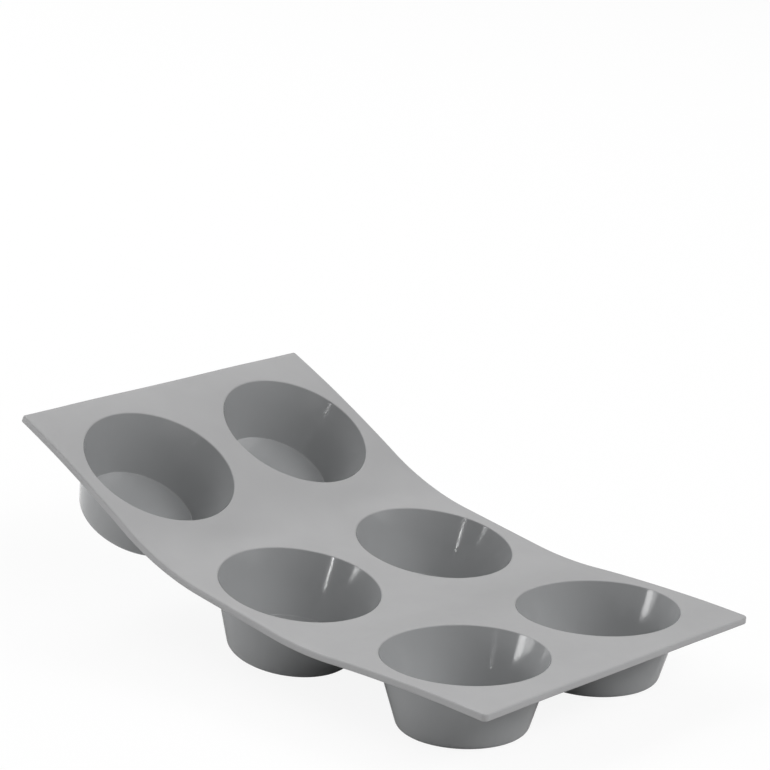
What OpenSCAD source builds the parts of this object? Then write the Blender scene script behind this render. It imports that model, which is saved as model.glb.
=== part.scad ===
// Flexible silicone soap mould with six round cups in three rows of two.
//
// The mould is one silicone moulding. It is modelled as the zones that move against each other
// when it flexes: three stiff rows of two cups, the two thin webs of sheet between the rows, which
// are where it bends, and the six cup floors, which are pushed up to turn the bars out.
//
// +X runs along the sheet to its level end, +Y to its back edge and +Z up. The origin is at the
// middle of the footprint of the bent mould, on the surface that the right row of cups stands on.
// A place on the sheet is given by its distance along the sheet's top face from the level end.

/* [Sheet] */
// Length of the flat sheet, measured along its top face
sheet_length = 300; // [290:1:320]
// Width of the sheet
sheet_width = 177.3; // [172:0.1:200]
// Thickness of the sheet
sheet_thickness = 3.4; // [2:0.1:5]
// Radius of the sheet's four corners, seen from above
corner_radius = 2.5; // [0.5:0.1:6]

/* [Cups] */
// Distance between the centres of neighbouring rows
row_pitch = 99.4; // [98:0.1:102]
// Distance between the centres of the two cups in a row
cup_pitch = 89; // [86:0.5:94]
// Radius of the cavity at the sheet's top face
rim_radius = 36.9; // [34:0.1:37]
// Radius of the cavity's flat floor
floor_radius = 26.6; // [25.5:0.1:30]
// Depth of the cavity below the sheet's top face
cavity_depth = 28.9; // [24:0.1:30]
// Radius of the cup's outside, carried up to the sheet's top face
outer_rim_radius = 38.1; // [38:0.1:39]
// Radius of the cup's underside, before its corner is rounded
outer_base_radius = 28.3; // [27.5:0.1:31.5]
// Height of a cup from its underside to the sheet's top face
cup_height = 32.6; // [32:0.1:36]
// Radius of the round corner between a cup's wall and its underside
base_corner_radius = 3.5; // [1.5:0.1:3.5]

/* [Cup floor] */
// Radius of the part of the floor that can be pushed up
push_radius = 23.5; // [18:0.1:24]
// Gap round the part of the floor that can be pushed up
push_gap = 0.3; // [0.2:0.05:0.6]
// Height of the hollow under the floor, which leaves a ring for the cup to stand on
foot_recess = 0.6; // [0.2:0.1:1.5]

/* [Bend] */
// Length of each web, the flexing strip between two rows
web_length = 22; // [18:0.5:22.5]
// Slope of the sheet at its level end, in degrees, rising away from that end
slope_at_level_end = 3; // [0:0.1:5]
// Slope where the first bend starts
slope_before_first_bend = -2.3; // [-4:0.1:0]
// Slope of the middle row
slope_of_middle_row = 9; // [2:0.1:12]
// Slope where the second bend ends
slope_after_second_bend = 30.3; // [14:0.1:34]
// Slope of the sheet at its raised end
slope_at_raised_end = 24; // [12:0.1:32]

/* [Hidden] */

sheet_grey = [0.66, 0.66, 0.66];
web_grey = [0.60, 0.60, 0.60];
cup_grey = [0.46, 0.47, 0.46];
floor_grey = [0.49, 0.50, 0.49];

RIGHT = 0;
MIDDLE = 1;
LEFT = 2;
FRONT = -1;
BACK = 1;

// Fineness of the round cups
cup_fn = 96;
// Longest flat facet along the bent sheet
facet_length = 3;
// Steps in the round corner of a cup's underside
corner_steps = 6;
// How far a cutting solid reaches past what it cuts
reach = 12;
// Slopes closer than this, in degrees, make a straight stretch
straight_limit = 0.01;

// Rows and webs, as distances along the sheet
row_at = [for (row = [RIGHT : LEFT]) sheet_length / 2 + (row - MIDDLE) * row_pitch];
web_at = [for (row = [RIGHT : MIDDLE]) (row_at[row] + row_at[row + 1]) / 2];
panel_start = [0, web_at[0] + web_length / 2, web_at[1] + web_length / 2];
panel_end = [web_at[0] - web_length / 2, web_at[1] - web_length / 2, sheet_length];

// The bent sheet is a chain of arcs: where each stretch ends, and the slope there
first_bend_start = 88;
first_bend_end = 124;
second_bend_start = 169;
second_bend_end = 222;
stretch_at = [0, first_bend_start, first_bend_end, second_bend_start, second_bend_end, sheet_length];
stretch_slope = [
  slope_at_level_end,
  slope_before_first_bend,
  slope_of_middle_row,
  slope_of_middle_row,
  slope_after_second_bend,
  slope_at_raised_end
];
last_stretch = len(stretch_at) - 2;

// Stretch that holds the distance s, and the slope at s before the right row is levelled
function stretch(s, i = 0) = i == last_stretch || s <= stretch_at[i + 1] ? i : stretch(s, i + 1);
function share(s, i) = (s - stretch_at[i]) / (stretch_at[i + 1] - stretch_at[i]);
function raw_slope(s, i) = stretch_slope[i] + share(s, i) * (stretch_slope[i + 1] - stretch_slope[i]);
level_slope = raw_slope(row_at[RIGHT], stretch(row_at[RIGHT]));
function slope(s) = raw_slope(s, stretch(s)) - level_slope;

// Straight line, in X and Z, between two places on one arc
function shortening(half_turn) =
  abs(half_turn) < straight_limit / 2 ? 1 : sin(half_turn) / (half_turn * PI / 180);
function chord(s0, s1) =
  let (middle_slope = (slope(s0) + slope(s1)) / 2, half_turn = (slope(s1) - slope(s0)) / 2)
  (s1 - s0) * shortening(half_turn) * [-cos(middle_slope), sin(middle_slope)];
function arc_start(i) = i == 0 ? [0, 0] : arc_start(i - 1) + chord(stretch_at[i - 1], stretch_at[i]);
function chain_point(s) = arc_start(stretch(s)) + chord(stretch_at[stretch(s)], s);

// Shift from the chain's start to the origin
level_end_x = max(0, -sheet_thickness * sin(slope(0)));
raised_end_x = chain_point(sheet_length)[0] - sheet_thickness * sin(slope(sheet_length));
origin_shift = [-(level_end_x + raised_end_x) / 2, cup_height - chain_point(row_at[RIGHT])[1]];
function top_point(s) = chain_point(s) + origin_shift;
function raised_point(s, height) = top_point(s) + height * [sin(slope(s)), cos(slope(s))];

// Outer draft of a cup's wall
wall_draft = atan((outer_rim_radius - outer_base_radius) / cup_height);

// Puts its children on the sheet's top face at the distance s, square to the sheet
module on_sheet(s) {
  translate([top_point(s)[0], 0, top_point(s)[1]])
    rotate([0, slope(s), 0])
      children();
}

// Puts its children on the axis of one cup, with zero height at the sheet's top face
module on_cup(row, side) {
  on_sheet(row_at[row])
    translate([0, side * cup_pitch / 2, 0])
      children();
}

// Sheet from s0 to s1 between two heights over the top face, as an outline along the bent sheet
module slab(s0, s1, low, high) {
  steps = ceil((s1 - s0) / facet_length);
  along = [for (step = [0 : steps]) s0 + (s1 - s0) * step / steps];
  back_along = [for (step = [0 : steps]) along[steps - step]];
  outline = concat([for (s = along) raised_point(s, high)], [for (s = back_along) raised_point(s, low)]);
  translate([0, sheet_width / 2, 0])
    rotate([90, 0, 0])
      linear_extrude(height = sheet_width)
        polygon(outline);
}

// Tapered inside of a cup, carried up past the sheet
module cavity() {
  taper = (rim_radius - floor_radius) / cavity_depth;
  translate([0, 0, -cavity_depth])
    cylinder(h = cavity_depth + reach, r1 = floor_radius, r2 = rim_radius + taper * reach, $fn = cup_fn);
}

// Solid tapered outside of a cup with a round lower corner
module cup_outside() {
  corner_z = base_corner_radius - cup_height;
  wall_at_corner = outer_rim_radius + corner_z * tan(wall_draft);
  corner_x = wall_at_corner - base_corner_radius / cos(wall_draft);
  corner = [
    for (step = [0 : corner_steps])
      let (angle = -90 + (90 - wall_draft) * step / corner_steps)
      [corner_x + base_corner_radius * cos(angle), corner_z + base_corner_radius * sin(angle)]
  ];
  top = [[outer_rim_radius, 0], [0, 0]];
  rotate_extrude($fn = cup_fn)
    polygon(concat([[0, -cup_height]], corner, top));
}

// Square-edged scrap outside a rounded corner of the sheet
module corner_scrap() {
  difference() {
    translate([0, 0, -sheet_thickness - 1])
      cube([corner_radius + 1, corner_radius + 1, sheet_thickness + 2]);
    translate([0, 0, -sheet_thickness - 2])
      cylinder(h = sheet_thickness + 4, r = corner_radius, $fn = 48);
  }
}

// Removes both corners at one end of the sheet; out is +1 at the level end and -1 at the raised one
module end_corners(s, out) {
  on_sheet(s)
    for (side = [FRONT, BACK])
      mirror([out < 0 ? 1 : 0, 0, 0])
        mirror([0, side < 0 ? 1 : 0, 0])
          translate([-corner_radius, sheet_width / 2 - corner_radius, 0])
            corner_scrap();
}

// Plate of one row, with its two cups' mouths
module panel(row) {
  difference() {
    slab(panel_start[row], panel_end[row], -sheet_thickness, 0);
    for (side = [FRONT, BACK]) {
      on_cup(row, side)
        cavity();
    }
    if (row == RIGHT) {
      end_corners(0, 1);
    }
    if (row == LEFT) {
      end_corners(sheet_length, -1);
    }
  }
}

// Flexing strip of sheet after a row's plate
module web(row) {
  slab(panel_end[row], panel_start[row + 1], -sheet_thickness, 0);
}

// Tapered wall of one cup, with its standing ring, up to the sheet's underside
module cup_wall(row, side) {
  hole_radius = push_radius + push_gap;
  color(cup_grey)
    difference() {
      on_cup(row, side)
        difference() {
          cup_outside();
          cavity();
          translate([0, 0, -cup_height - 1])
            cylinder(h = cup_height, r = hole_radius, $fn = cup_fn);
        }
      slab(panel_start[row], panel_end[row], -sheet_thickness, reach);
    }
}

// Part of one cup's floor that is pushed up
module cup_floor(row, side) {
  color(floor_grey)
    on_cup(row, side)
      translate([0, 0, foot_recess - cup_height])
        cylinder(h = cup_height - foot_recess - cavity_depth, r = push_radius, $fn = cup_fn);
}

module right_panel() {
  color(sheet_grey)
    panel(RIGHT);
}

module middle_panel() {
  color(sheet_grey)
    panel(MIDDLE);
}

module left_panel() {
  color(sheet_grey)
    panel(LEFT);
}

module right_web() {
  color(web_grey)
    web(RIGHT);
}

module left_web() {
  color(web_grey)
    web(MIDDLE);
}

right_panel();
middle_panel();
left_panel();
right_web();
left_web();
cup_wall(RIGHT, FRONT);  // right_front_cup_wall
cup_wall(RIGHT, BACK);  // right_back_cup_wall
cup_wall(MIDDLE, FRONT);  // middle_front_cup_wall
cup_wall(MIDDLE, BACK);  // middle_back_cup_wall
cup_wall(LEFT, FRONT);  // left_front_cup_wall
cup_wall(LEFT, BACK);  // left_back_cup_wall
cup_floor(RIGHT, FRONT);  // right_front_cup_floor
cup_floor(RIGHT, BACK);  // right_back_cup_floor
cup_floor(MIDDLE, FRONT);  // middle_front_cup_floor
cup_floor(MIDDLE, BACK);  // middle_back_cup_floor
cup_floor(LEFT, FRONT);  // left_front_cup_floor
cup_floor(LEFT, BACK);  // left_back_cup_floor
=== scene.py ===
"""Flexible silicone soap mould: the moulded skin, its material, and a plain studio round it."""

import math

import bpy
import numpy as np
from mathutils import Matrix, Vector


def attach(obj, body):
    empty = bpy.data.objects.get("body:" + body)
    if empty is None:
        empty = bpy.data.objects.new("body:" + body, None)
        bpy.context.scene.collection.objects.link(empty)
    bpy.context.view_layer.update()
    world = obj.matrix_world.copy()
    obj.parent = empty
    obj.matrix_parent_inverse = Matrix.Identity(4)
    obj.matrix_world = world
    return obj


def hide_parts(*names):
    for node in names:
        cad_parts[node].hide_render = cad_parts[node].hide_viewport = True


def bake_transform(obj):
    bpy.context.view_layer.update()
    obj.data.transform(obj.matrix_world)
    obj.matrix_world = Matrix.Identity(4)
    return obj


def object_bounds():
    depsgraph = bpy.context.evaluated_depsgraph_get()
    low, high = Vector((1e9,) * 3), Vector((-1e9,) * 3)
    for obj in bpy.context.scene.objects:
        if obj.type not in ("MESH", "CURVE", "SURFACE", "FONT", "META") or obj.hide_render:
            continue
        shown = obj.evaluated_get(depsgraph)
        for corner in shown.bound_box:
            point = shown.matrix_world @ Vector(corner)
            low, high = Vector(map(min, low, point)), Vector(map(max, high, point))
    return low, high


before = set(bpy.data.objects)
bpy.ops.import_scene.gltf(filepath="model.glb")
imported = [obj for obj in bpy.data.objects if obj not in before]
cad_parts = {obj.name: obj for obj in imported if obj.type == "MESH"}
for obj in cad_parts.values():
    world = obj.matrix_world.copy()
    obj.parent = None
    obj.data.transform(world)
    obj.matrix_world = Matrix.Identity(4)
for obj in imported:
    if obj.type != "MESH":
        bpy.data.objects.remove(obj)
cad_low, cad_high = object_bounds()

# ---------------------------------------------------------------- sizes, in metres
MM = 0.001
SHEET_LENGTH = 300 * MM
SHEET_WIDTH = 177.3 * MM
SHEET_THICKNESS = 3.4 * MM
LEVEL_CORNER_RADIUS = 2.5 * MM
RAISED_CORNER_RADIUS = 1.2 * MM
EDGE_RADIUS = 0.7 * MM
ROW_PITCH = 99.4 * MM
CUP_PITCH = 89 * MM
WEB_LENGTH = 22 * MM
RIM_RADIUS = 36.9 * MM
RIM_ROUND = 0.35 * MM
FLOOR_RADIUS = 26.6 * MM
FLOOR_ROUND = 0.4 * MM
CAVITY_DEPTH = 28.9 * MM
OUTER_RIM_RADIUS = 38.1 * MM
OUTER_BASE_RADIUS = 28.3 * MM
CUP_HEIGHT = 32.6 * MM
BASE_ROUND = 3.5 * MM
ROOT_ROUND = 1.2 * MM
PUSH_RADIUS = 23.5 * MM
FOOT_RECESS = 0.6 * MM
RECESS_SLOPE_WIDTH = 1.2 * MM

# The bent sheet is a chain of arcs: distance from the level end, and slope there in degrees
STRETCH_AT = [0, 88 * MM, 124 * MM, 169 * MM, 222 * MM, SHEET_LENGTH]
STRETCH_SLOPE = [3, -2.3, 9, 9, 30.3, 24]

ROWS = ["right", "middle", "left"]
WEBS = ["right_web", "left_web"]
SIDES = {"front": -1, "back": 1}
ROW_AT = [SHEET_LENGTH / 2 + (row - 1) * ROW_PITCH for row in range(3)]
WEB_AT = [(ROW_AT[row] + ROW_AT[row + 1]) / 2 for row in range(2)]
PANEL_START = [0] + [at + WEB_LENGTH / 2 for at in WEB_AT]
PANEL_END = [at - WEB_LENGTH / 2 for at in WEB_AT] + [SHEET_LENGTH]

CAVITY_TAPER = (RIM_RADIUS - FLOOR_RADIUS) / CAVITY_DEPTH
OUTER_TAPER = (OUTER_RIM_RADIUS - OUTER_BASE_RADIUS) / CUP_HEIGHT

# ---------------------------------------------------------------- fineness of the meshes
SIDE_STEPS = 34
CORNER_STEPS = 7
EDGE_STEPS = 4
RIM_STEPS = 3
WEB_STEPS = 28
CUP_STEPS = 112
WALL_STEPS = 22
FLOOR_ROUND_STEPS = 5
BASE_ROUND_STEPS = 8
ROOT_ROUND_STEPS = 5
SHARP_DEGREES = 32
WELD_CELLS_PER_METRE = 1e7

# Shares of the way from a mouth to the sheet's edge, closer together near the mouth
TOP_STEPS = 15
TOP_CROWDING = 1.4
TOP_SHARES = [(step / TOP_STEPS) ** TOP_CROWDING for step in range(TOP_STEPS + 1)]
# Shares of the way up the sheet's part of a cavity wall, closer together near the rim
MOUTH_SHARES = (0, 0.4, 0.8, 0.95, 0.985, 1)
# Shares of the way in to the middle of a cup's floor
FLOOR_SHARES = (0.93, 0.8, 0.6, 0.4, 0.2, 0)
# Shares of the way out over the recess under a cup, and then down its slope to the standing ring
RECESS_SHARES = (0, 0.2, 0.45, 0.7, 0.9, 0.97, 1)
RECESS_SLOPE_SHARES = (0.25, 0.5, 0.75, 1)


# ---------------------------------------------------------------- the bent sheet
def raw_slope(s):
    return float(np.interp(s, STRETCH_AT, STRETCH_SLOPE))


LEVEL_SLOPE = raw_slope(ROW_AT[0])


def slope(s):
    """Slope of the sheet in radians at the distance s from its level end."""
    return math.radians(raw_slope(s) - LEVEL_SLOPE)


def chord(s0, s1):
    """Straight line in X and Z between two places on one arc."""
    middle = (slope(s0) + slope(s1)) / 2
    half_turn = (slope(s1) - slope(s0)) / 2
    length = (s1 - s0) * float(np.sinc(half_turn / math.pi))
    return np.array([-math.cos(middle) * length, math.sin(middle) * length])


def chain_point(s):
    """X and Z of the sheet's top face, measured from its level end."""
    point = np.zeros(2)
    for s0, s1 in zip(STRETCH_AT, STRETCH_AT[1:]):
        if s > s0:
            point = point + chord(s0, min(s, s1))
    return point


# Puts the level end at the CAD's right side, and the right row's cups on the floor
ORIGIN_SHIFT = np.array([
    cad_high.x - chain_point(0)[0],
    CUP_HEIGHT - chain_point(ROW_AT[0])[1],
])

# Each cup holds the sheet round its mouth flatter than the arcs. The pull is full out to the first of
# these radii from the cup's axis, and gone at the second. The outside of the cup follows the sheet down to
# GRIP, and its inside runs straight from the mouth to the floor.
FLATNESS = 0.55
FLAT_RADIUS = 30 * MM
BENT_RADIUS = 62 * MM
GRIP = 15 * MM


def cup_frame(row, side):
    """Matrix from a cup's own frame, its axis up and zero at the sheet's top face."""
    x, z = chain_point(ROW_AT[row]) + ORIGIN_SHIFT
    place = Matrix.Translation((x, side * CUP_PITCH / 2, z))
    return place @ Matrix.Rotation(slope(ROW_AT[row]), 4, "Y")


CUP_FRAMES = {(row, side): cup_frame(row, side) for row in range(3) for side in SIDES.values()}


def ease(share):
    """Smooth step from 0 to 1, level at both ends."""
    t = min(max(share, 0), 1)
    return t ** 3 * (10 - 15 * t + 6 * t * t)


def on_sheet(s, y, height):
    """Point at the distance s along the sheet and a height over its top face."""
    x, z = chain_point(s) + ORIGIN_SHIFT
    arcs = Vector((x + height * math.sin(slope(s)), y, z + height * math.cos(slope(s))))
    point = arcs.copy()
    for (row, side), frame_of_cup in CUP_FRAMES.items():
        along = ROW_AT[row] - s
        across = y - side * CUP_PITCH / 2
        away = math.hypot(along, across)
        if away < BENT_RADIUS:
            pull = FLATNESS * (1 - ease((away - FLAT_RADIUS) / (BENT_RADIUS - FLAT_RADIUS)))
            point += (frame_of_cup @ Vector((along, across, height)) - arcs) * pull
    return point


def around(row, side, angle, radius):
    """Distance along the sheet and across it of a place round a cup's axis."""
    return ROW_AT[row] - radius * math.cos(angle), side * CUP_PITCH / 2 + radius * math.sin(angle)


def on_outside(row, side, angle, radius, z):
    """Point of a cup's outside or floor, from its place in the cup's own frame. Its top follows the sheet."""
    point = CUP_FRAMES[row, side] @ Vector((radius * math.cos(angle), radius * math.sin(angle), z))
    if z <= -GRIP:
        return point
    sheet_point = on_sheet(*around(row, side, angle, radius), z)
    return point.lerp(sheet_point, ease((z + GRIP) / (GRIP - SHEET_THICKNESS)))


def on_wall(row, side, angle, z):
    """Point of a cup's inner wall, on a straight line from the mouth to the floor's edge."""
    mouth = on_sheet(*around(row, side, angle, RIM_RADIUS), 0)
    floor_place = (FLOOR_RADIUS * math.cos(angle), FLOOR_RADIUS * math.sin(angle), -CAVITY_DEPTH)
    return (CUP_FRAMES[row, side] @ Vector(floor_place)).lerp(mouth, 1 + z / CAVITY_DEPTH)


# ---------------------------------------------------------------- mesh helpers
def make_object(name, vertices, faces, materials, face_materials=None):
    mesh = bpy.data.meshes.new(name)
    mesh.from_pydata([tuple(v) for v in vertices], [], faces)
    for material in materials:
        mesh.materials.append(material)
    if face_materials is not None:
        mesh.polygons.foreach_set("material_index", face_materials)
    mesh.polygons.foreach_set("use_smooth", [True] * len(faces))
    mesh.set_sharp_from_angle(angle=math.radians(SHARP_DEGREES))
    mesh.update()
    piece = bpy.data.objects.new(name, mesh)
    bpy.context.scene.collection.objects.link(piece)
    return piece


class Welder:
    """Collects faces and gives points at the same place the same number."""

    def __init__(self):
        self.vertices = []
        self.faces = []
        self.face_materials = []
        self.numbers = {}

    def number(self, point):
        key = tuple(round(c * WELD_CELLS_PER_METRE) for c in point)
        if key not in self.numbers:
            self.numbers[key] = len(self.vertices)
            self.vertices.append(point)
        return self.numbers[key]

    def add(self, points, material=0):
        corners = []
        for point in points:
            corner = self.number(point)
            if corner not in corners:
                corners.append(corner)
        if len(corners) > 2:
            self.faces.append(corners)
            self.face_materials.append(material)


def arc(start, end, steps):
    """Evenly spaced angles in radians, from start to end in degrees."""
    return [math.radians(start + (end - start) * step / steps) for step in range(steps + 1)]


def between(start, end, share, height):
    """Place on the sheet at a share of the way from start to end, at a height of its own."""
    return start[0] + (end[0] - start[0]) * share, start[1] + (end[1] - start[1]) * share, height


# ---------------------------------------------------------------- sheet of a row
def edge_profile():
    """(inset, height) pairs round the sheet's edge, from its top face to its underside."""
    top = []
    for a in arc(0, 90, EDGE_STEPS):
        top.append((EDGE_RADIUS * (1 - math.sin(a)), -EDGE_RADIUS * (1 - math.cos(a))))
    bottom = [(inset, -SHEET_THICKNESS - height) for inset, height in reversed(top)]
    return top + bottom


def half_row_outline(row, side):
    """Outline of one cup's half of a row, and the number of the point where it turns onto the middle line.

    Each point is (s, y, inward s, inward y). The two halves of a row are welded along the middle line.
    """
    s0, s1 = PANEL_START[row], PANEL_END[row]
    half = SHEET_WIDTH / 2
    low_open, high_open = row == 0, row == 2
    samples = []

    def straight(a, b, inward, skip_first=True):
        for step in range(1 if skip_first else 0, SIDE_STEPS + 1):
            share = step / SIDE_STEPS
            samples.append([
                a[0] + (b[0] - a[0]) * share,
                a[1] + (b[1] - a[1]) * share,
                inward[0],
                inward[1],
            ])

    def corner(centre, radius, start, end):
        for a in arc(start, end, CORNER_STEPS)[1:]:
            samples.append([
                centre[0] + radius * math.cos(a),
                centre[1] + radius * math.sin(a),
                -math.cos(a),
                -math.sin(a),
            ])

    low_end = (1.0, 0.0) if low_open else (0.0, 0.0)
    high_end = (-1.0, 0.0) if high_open else (0.0, 0.0)
    low_trim = LEVEL_CORNER_RADIUS if low_open else 0
    high_trim = RAISED_CORNER_RADIUS if high_open else 0
    # from the middle line up the low end, along the outer edge, and back down the high end
    straight((s0, 0), (s0, half - low_trim), low_end, skip_first=False)
    if low_open:
        corner((s0 + low_trim, half - low_trim), low_trim, 180, 90)
    else:
        samples[-1][3] = -1.0
    straight((s0 + low_trim, half), (s1 - high_trim, half), (0.0, -1.0))
    if high_open:
        corner((s1 - high_trim, half - high_trim), high_trim, 90, 0)
    else:
        samples[-1][3] = -1.0
    straight((s1, half - high_trim), (s1, 0), high_end)
    weld_from = len(samples) - 1
    # back to the start along the middle line
    for step in range(1, SIDE_STEPS):
        samples.append([s1 + (s0 - s1) * step / SIDE_STEPS, 0.0, 0.0, 0.0])
    return [(s, side * y, ds, side * dy) for s, y, ds, dy in samples], weld_from


def add_half_row(welder, row, side):
    """Adds one cup's half of a row. Each point of its outline gets a section, out from the mouth and back."""
    outline, weld_from = half_row_outline(row, side)
    profile = edge_profile()
    mouth_heights = [(SHEET_THICKNESS - RIM_ROUND) * share - SHEET_THICKNESS for share in MOUTH_SHARES]
    underside_radius = RIM_RADIUS - SHEET_THICKNESS * CAVITY_TAPER
    columns = []
    for s, y, ds, dy in outline:
        # +X of a cup points to the level end, which is towards smaller s
        angle = math.atan2(y - side * CUP_PITCH / 2, ROW_AT[row] - s)
        # wall of the mouth, from the underside to the rim
        wall = [on_wall(row, side, angle, height) for height in mouth_heights]
        # small round of the rim
        places = []
        for a in arc(0, 90, RIM_STEPS)[1:]:
            radius = RIM_RADIUS + RIM_ROUND * (1 - math.cos(a))
            places.append((*around(row, side, angle, radius), RIM_ROUND * (math.sin(a) - 1)))
        # top face, out to the edge's round, and down the edge
        edge = [(s + ds * inset, y + dy * inset, height) for inset, height in profile]
        start = places[-1]
        places += [between(start, edge[0], share, 0) for share in TOP_SHARES[1:-1]]
        edge_first = len(wall) + len(places)
        places += edge
        edge_last = len(wall) + len(places) - 1
        # underside, back to the mouth
        start = around(row, side, angle, underside_radius)
        for share in reversed(TOP_SHARES[1:-1]):
            places.append(between(start, edge[-1], share, -SHEET_THICKNESS))
        columns.append(wall + [on_sheet(*place) for place in places])
    for i, here in enumerate(columns):
        there = columns[(i + 1) % len(columns)]
        for j in range(len(here)):
            # no edge between the two halves of the row
            if i >= weld_from and edge_first <= j < edge_last:
                continue
            k = (j + 1) % len(here)
            corners = [here[j], there[j], there[k], here[k]]
            if side > 0:
                corners.reverse()
            welder.add(corners, 1 if j < len(MOUTH_SHARES) - 1 else 0)


def row_sheet(row, materials):
    """Sheet round a row's two mouths. The first material is the sheet's and the second is the mouths'."""
    welder = Welder()
    for side in SIDES.values():
        add_half_row(welder, row, side)
    name = ROWS[row] + "_row_sheet"
    return make_object(name, welder.vertices, welder.faces, materials, welder.face_materials)


# ---------------------------------------------------------------- sheet of a web
def web_strip(row, materials):
    """Strip of sheet after a row, with the same edge section as the rows' sheets."""
    s0, s1 = PANEL_END[row], PANEL_START[row + 1]
    half = SHEET_WIDTH / 2
    profile = edge_profile()
    middle_to_edge = [half * step / SIDE_STEPS for step in range(SIDE_STEPS)] + [half - profile[0][0]]
    back_to_front = list(reversed(middle_to_edge)) + [-y for y in middle_to_edge[1:]]
    # over the top face to the front, down the front edge, under to the back, and up the back edge
    section = [(y, 0) for y in back_to_front]
    section += [(-half + inset, height) for inset, height in profile[1:]]
    section += [(-y, -SHEET_THICKNESS) for y in back_to_front[1:]]
    section += [(half - inset, height) for inset, height in reversed(profile[1:-1])]
    rings = []
    for step in range(WEB_STEPS + 1):
        s = s0 + (s1 - s0) * step / WEB_STEPS
        rings.append([on_sheet(s, y, height) for y, height in section])
    welder = Welder()
    for here, there in zip(rings, rings[1:]):
        for i in range(len(section)):
            k = (i + 1) % len(section)
            welder.add([here[i], there[i], there[k], here[k]])
    welder.add(rings[0])
    welder.add(list(reversed(rings[-1])))
    return make_object(WEBS[row] + "_sheet", welder.vertices, welder.faces, materials)


# ---------------------------------------------------------------- cups
def outer_radius(z):
    return OUTER_RIM_RADIUS + z * OUTER_TAPER


def cup_profiles():
    """Heights down a cup's inner wall, then (radius, height) pairs over its floor and back up outside."""
    top_z = -SHEET_THICKNESS
    # inside wall down to the floor's round
    draft = math.atan(CAVITY_TAPER)
    run = FLOOR_ROUND * math.tan((math.pi / 2 - draft) / 2)
    end_z = -CAVITY_DEPTH + run * math.cos(draft)
    wall = [top_z + (end_z - top_z) * step / WALL_STEPS for step in range(WALL_STEPS + 1)]
    # the floor's round, and the floor in to its middle
    points = []
    centre_r = FLOOR_RADIUS - run
    centre_z = -CAVITY_DEPTH + FLOOR_ROUND
    for a in arc(-math.degrees(draft), -90, FLOOR_ROUND_STEPS)[1:]:
        points.append((centre_r + FLOOR_ROUND * math.cos(a), centre_z + FLOOR_ROUND * math.sin(a)))
    for share in FLOOR_SHARES:
        points.append((centre_r * share, -CAVITY_DEPTH))
    # underside, from its middle to the standing ring
    recess_z = -CUP_HEIGHT + FOOT_RECESS
    recess_r = PUSH_RADIUS - RECESS_SLOPE_WIDTH / 2
    for share in RECESS_SHARES:
        points.append((recess_r * share, recess_z))
    for share in RECESS_SLOPE_SHARES:
        drop = FOOT_RECESS * share * share * (3 - 2 * share)
        points.append((recess_r + RECESS_SLOPE_WIDTH * share, recess_z - drop))
    # outer round, then the outside wall up to the sheet
    outer_draft = math.atan(OUTER_TAPER)
    corner_z = BASE_ROUND - CUP_HEIGHT
    corner_r = outer_radius(corner_z) - BASE_ROUND / math.cos(outer_draft)
    for a in arc(-90, -math.degrees(outer_draft), BASE_ROUND_STEPS):
        points.append((corner_r + BASE_ROUND * math.cos(a), corner_z + BASE_ROUND * math.sin(a)))
    start_z = points[-1][1]
    rise = ROOT_ROUND * math.tan((math.pi / 2 - outer_draft) / 2)
    wall_top_z = top_z - rise * math.cos(outer_draft)
    for step in range(1, WALL_STEPS + 1):
        z = start_z + (wall_top_z - start_z) * step / WALL_STEPS
        points.append((outer_radius(z), z))
    # concave round where the wall grows out of the sheet
    root_r = outer_radius(top_z) + rise
    root_z = top_z - ROOT_ROUND
    for a in arc(180 - math.degrees(outer_draft), 90, ROOT_ROUND_STEPS)[1:]:
        points.append((root_r + ROOT_ROUND * math.cos(a), root_z + ROOT_ROUND * math.sin(a)))
    return wall, points


def cup_skin(row, side, materials, name):
    """Closed skin of a cup below the sheet, inside and outside."""
    wall, rest = cup_profiles()
    columns = []
    for a in arc(0, 360, CUP_STEPS)[:-1]:
        inside = [on_wall(row, side, a, z) for z in wall]
        columns.append(inside + [on_outside(row, side, a, r, z) for r, z in rest])
    welder = Welder()
    for i, here in enumerate(columns):
        there = columns[(i + 1) % CUP_STEPS]
        for j in range(len(here)):
            k = (j + 1) % len(here)
            welder.add([here[j], there[j], there[k], here[k]])
    return make_object(name, welder.vertices, welder.faces, materials)


# ---------------------------------------------------------------- material
SHEET_COLOUR = (0.27, 0.27, 0.273)
# Cups' colour: the sheet's silicone made a little darker, as painted shade for the cavities, with a slight
# blue tint.
CUP_COLOUR_PAINTED_SHADE = (0.254, 0.259, 0.263)
SILICONE_IOR = 1.42
# Noise patterns: scale, detail and roughness
TINT_NOISE = (22, 4, 0.5)
GLOSS_NOISE = (60, 5, 0.6)
GRAIN_NOISE = (2600, 3, 0.5)
# The part of a noise's values that is spread over the wanted range
NOISE_LOW, NOISE_HIGH = 0.3, 0.7
TINT_CHANGE = 0.03
ROUGHNESS_CHANGE = 0.04
GRAIN_HEIGHT = 0.06 * MM


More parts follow.
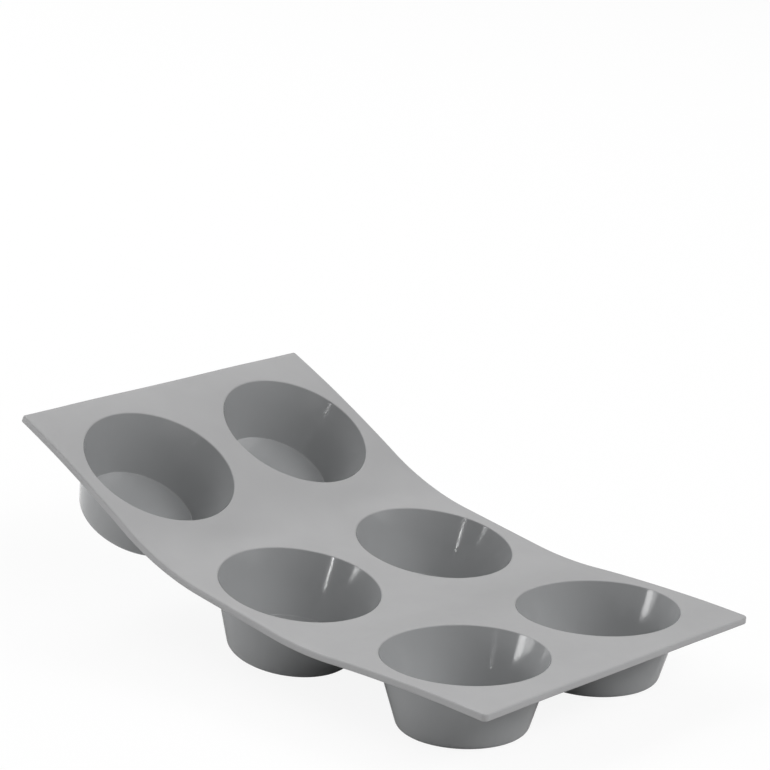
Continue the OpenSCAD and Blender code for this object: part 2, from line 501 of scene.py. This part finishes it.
def silicone(name, colour, roughness, grain):
    material = bpy.data.materials.new(name)
    material.use_nodes = True
    nodes, links = material.node_tree.nodes, material.node_tree.links
    shader = nodes["Principled BSDF"]
    shader.inputs["IOR"].default_value = SILICONE_IOR
    place = nodes.new("ShaderNodeTexCoord")

    def noise(scale, detail, rough):
        node = nodes.new("ShaderNodeTexNoise")
        node.inputs["Scale"].default_value = scale
        node.inputs["Detail"].default_value = detail
        node.inputs["Roughness"].default_value = rough
        links.new(place.outputs["Object"], node.inputs["Vector"])
        return node.outputs["Fac"]

    def spread(value, low, high):
        node = nodes.new("ShaderNodeMapRange")
        node.inputs["From Min"].default_value = NOISE_LOW
        node.inputs["From Max"].default_value = NOISE_HIGH
        node.inputs["To Min"].default_value = low
        node.inputs["To Max"].default_value = high
        links.new(value, node.inputs["Value"])
        return node.outputs["Result"]

    tint = nodes.new("ShaderNodeMix")
    tint.data_type = "RGBA"
    tint.inputs["A"].default_value = (*(c * (1 - TINT_CHANGE) for c in colour), 1)
    tint.inputs["B"].default_value = (*(c * (1 + TINT_CHANGE) for c in colour), 1)
    links.new(spread(noise(*TINT_NOISE), 0, 1), tint.inputs["Factor"])
    links.new(tint.outputs["Result"], shader.inputs["Base Color"])
    gloss = spread(noise(*GLOSS_NOISE), roughness - ROUGHNESS_CHANGE, roughness + ROUGHNESS_CHANGE)
    links.new(gloss, shader.inputs["Roughness"])
    bump = nodes.new("ShaderNodeBump")
    bump.inputs["Strength"].default_value = grain
    bump.inputs["Distance"].default_value = GRAIN_HEIGHT
    links.new(noise(*GRAIN_NOISE), bump.inputs["Height"])
    links.new(bump.outputs["Normal"], shader.inputs["Normal"])
    return material


# The sheet is matt, and the cups are glossy inside and out. The cups get a slightly darker copy of the
# sheet's colour as painted shade in the cavities, though the whole mould is one silicone.
SHEET_MATERIAL = silicone("sheet_silicone", SHEET_COLOUR, roughness=0.5, grain=0.5)
CUP_MATERIAL_PAINTED_SHADE = silicone("cup_silicone", CUP_COLOUR_PAINTED_SHADE, roughness=0.135, grain=0.04)

# ---------------------------------------------------------------- pieces
for row, row_name in enumerate(ROWS):
    sheet = row_sheet(row, [SHEET_MATERIAL, CUP_MATERIAL_PAINTED_SHADE])
    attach(sheet, row_name + "_row")
    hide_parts(row_name + "_panel")
    for side_name, side in SIDES.items():
        cup_name = f"{row_name}_{side_name}"
        cup = cup_skin(row, side, [CUP_MATERIAL_PAINTED_SHADE], cup_name + "_cup")
        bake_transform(cup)
        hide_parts(cup_name + "_cup_wall", cup_name + "_cup_floor")

for row in range(2):
    web = web_strip(row, [SHEET_MATERIAL])
    on_sheet(PANEL_END[row], 0, -SHEET_THICKNESS / 2)
    on_sheet(PANEL_START[row + 1], 0, -SHEET_THICKNESS / 2)
    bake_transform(web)
    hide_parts(WEBS[row])


# ---------------------------------------------------------------- studio
def look_from(target, azimuth, elevation, distance, roll=0):
    """Matrix of a camera or light that looks at target; azimuth 0 looks along +Y."""
    a, e = math.radians(azimuth), math.radians(elevation)
    back = Vector((math.sin(a) * math.cos(e), -math.cos(a) * math.cos(e), math.sin(e)))
    place = Matrix.Translation(Vector(target) + back * distance)
    turn = back.to_track_quat("Z", "Y").to_matrix().to_4x4()
    return place @ turn @ Matrix.Rotation(math.radians(roll), 4, "Z")


def area_light(name, target, azimuth, elevation, distance, width, height, power):
    light = bpy.data.lights.new(name, "AREA")
    light.shape = "RECTANGLE"
    light.size = width
    light.size_y = height
    light.energy = power
    lamp = bpy.data.objects.new(name, light)
    lamp.matrix_world = look_from(target, azimuth, elevation, distance)
    bpy.context.scene.collection.objects.link(lamp)


CAMERA_TARGET = (-0.0125, 0.015, 0.118)
CAMERA_AZIMUTH = 42.68
CAMERA_ELEVATION = 15.38
CAMERA_DISTANCE = 1.3813
CAMERA_ROLL = 1.92
LENS_MM = 142.26
SENSOR_MM = 36

camera_data = bpy.data.cameras.new("camera")
camera_data.lens = LENS_MM
camera_data.sensor_width = SENSOR_MM
camera = bpy.data.objects.new("camera", camera_data)
camera.matrix_world = look_from(
    CAMERA_TARGET, CAMERA_AZIMUTH, CAMERA_ELEVATION, CAMERA_DISTANCE, CAMERA_ROLL
)
bpy.context.scene.collection.objects.link(camera)
bpy.context.scene.camera = camera

FLOOR_REACH = 30
FLOOR_COLOUR = 0.68
FLOOR_WASH = 0.9


def studio_floor():
    """Pale floor. The camera sees it washed out towards white, as on an overexposed sweep."""
    corners = [(x * FLOOR_REACH, y * FLOOR_REACH, 0) for x, y in ((-1, -1), (1, -1), (1, 1), (-1, 1))]
    material = bpy.data.materials.new("floor")
    material.use_nodes = True
    nodes, links = material.node_tree.nodes, material.node_tree.links
    paint = nodes["Principled BSDF"]
    paint.inputs["Base Color"].default_value = (FLOOR_COLOUR, FLOOR_COLOUR, FLOOR_COLOUR, 1)
    paint.inputs["Roughness"].default_value = 1
    paint.inputs["Specular IOR Level"].default_value = 0
    glow = nodes.new("ShaderNodeEmission")
    glow.inputs["Strength"].default_value = 1
    ray = nodes.new("ShaderNodeLightPath")
    wash = nodes.new("ShaderNodeMath")
    wash.operation = "MULTIPLY"
    wash.inputs[1].default_value = FLOOR_WASH
    links.new(ray.outputs["Is Camera Ray"], wash.inputs[0])
    mix = nodes.new("ShaderNodeMixShader")
    links.new(wash.outputs["Value"], mix.inputs["Fac"])
    links.new(paint.outputs["BSDF"], mix.inputs[1])
    links.new(glow.outputs["Emission"], mix.inputs[2])
    links.new(mix.outputs["Shader"], nodes["Material Output"].inputs["Surface"])
    make_object("floor", corners, [[0, 1, 2, 3]], [material])


# Softboxes round the object: azimuth, elevation, distance, width, height and power
LIGHTS = {
    "right_front_bank": (65, 37, 3.0, 1.6, 0.9, 23),
    "right_bank": (100, 37, 3.0, 2.0, 0.9, 30),
    "right_back_bank": (135, 37, 3.0, 1.6, 0.9, 39),
    "back_high": (-138, 45, 3.0, 2.0, 1.6, 32),
    "left_high": (-80, 50, 3.0, 2.0, 1.6, 41),
    "left_wall": (-75, 12, 3.0, 3.4, 1.0, 56),
    "front_high": (20, 50, 3.0, 2.0, 1.6, 7.5),
    "left_window": (-37.8, 9.5, 1.3, 0.25, 0.26, 2.5),
    "strip_low": (2, 5.65, 1.3, 0.034, 0.125, 0.25),
    "strip_high": (2, 11.15, 1.3, 0.034, 0.125, 0.58),
}
LIGHT_TARGET = (0, 0, 0.04)
WORLD_STRENGTH = 0.1

studio_floor()
for light_name, settings in LIGHTS.items():
    area_light(light_name, LIGHT_TARGET, *settings)

world = bpy.data.worlds.new("world")
world.use_nodes = True
background = world.node_tree.nodes["Background"]
background.inputs["Color"].default_value = (1, 1, 1, 1)
background.inputs["Strength"].default_value = WORLD_STRENGTH
bpy.context.scene.world = world
bpy.context.scene.view_settings.view_transform = "Standard"
